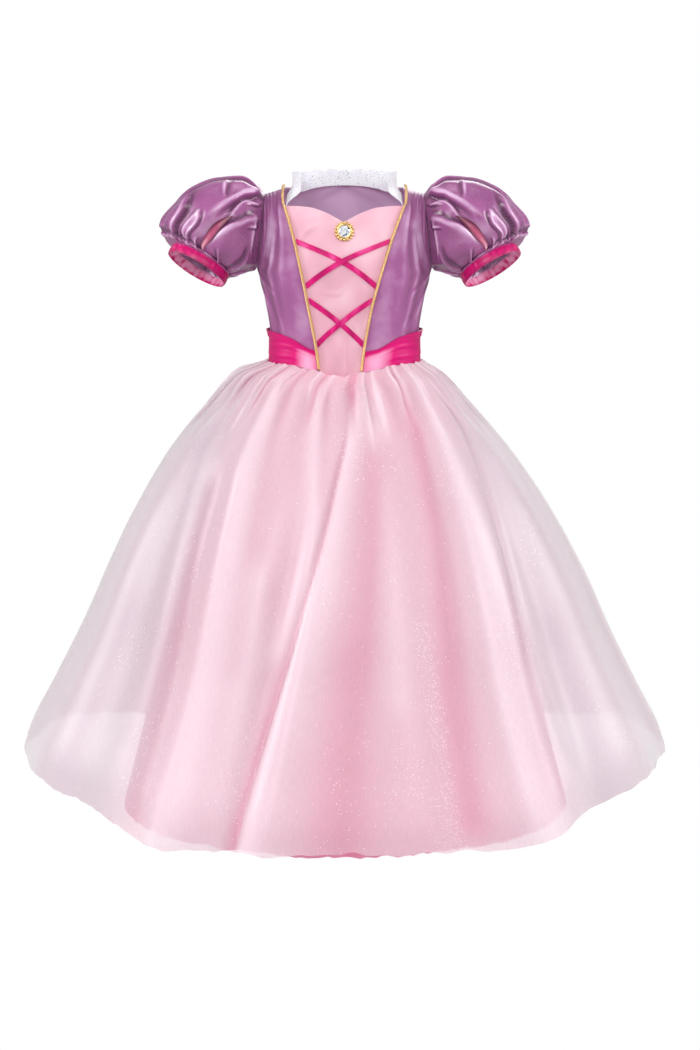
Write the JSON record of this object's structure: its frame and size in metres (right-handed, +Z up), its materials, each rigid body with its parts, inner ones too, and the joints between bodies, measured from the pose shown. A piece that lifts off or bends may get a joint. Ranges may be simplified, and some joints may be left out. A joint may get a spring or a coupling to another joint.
{
  "type": "princess costume dress",
  "caption": "Child's princess costume dress with purple satin bodice, puff sleeves, laced pink front, belt and gathered pink skirt under glittering organza.",
  "frame": {"origin": "middle between the shoulders, at the height of the shoulder straps, where the wearer holds the dress up", "axes": "+X to the wearer's left (picture right), -Y to the front, +Z up"},
  "size_m": [0.8602, 0.6604, 0.8358],
  "materials": {
    "purple_satin": "smooth satin with a soft lilac sheen",
    "pale_satin": "pale pink satin",
    "hot_pink_satin": "bright pink satin",
    "skirt_satin": "light pink satin",
    "glitter_organza": "sheer organza with fine glitter",
    "glitter_mesh": "white mesh with silver glitter",
    "gold_cord": "twisted metallic gold cord",
    "gold_metal": "gold plated plastic",
    "crystal": "faceted clear acrylic stone"
  },
  "bodies": {
    "root": {"front_insert": "pale_satin", "bodice_front_left": "purple_satin", "bodice_front_right": "purple_satin", "bodice_back_left": "purple_satin", "bodice_back_right": "purple_satin", "sleeve_left": "purple_satin", "sleeve_right": "purple_satin", "sleeve_slash_left": "pale_satin", "sleeve_slash_right": "pale_satin", "cuff_left": "hot_pink_satin", "cuff_right": "hot_pink_satin", "belt_left": "hot_pink_satin", "belt_right": "hot_pink_satin", "collar_left": "glitter_mesh", "collar_right": "glitter_mesh", "piping_left": "gold_cord", "piping_right": "gold_cord", "ribbon_upper_left": "hot_pink_satin", "ribbon_upper_right": "hot_pink_satin", "ribbon_lower_left": "hot_pink_satin", "ribbon_lower_right": "hot_pink_satin", "brooch_setting": "gold_metal", "brooch_stone": "crystal", "skirt_under": "skirt_satin", "skirt_over": "glitter_organza"}
  },
  "joints": []
}
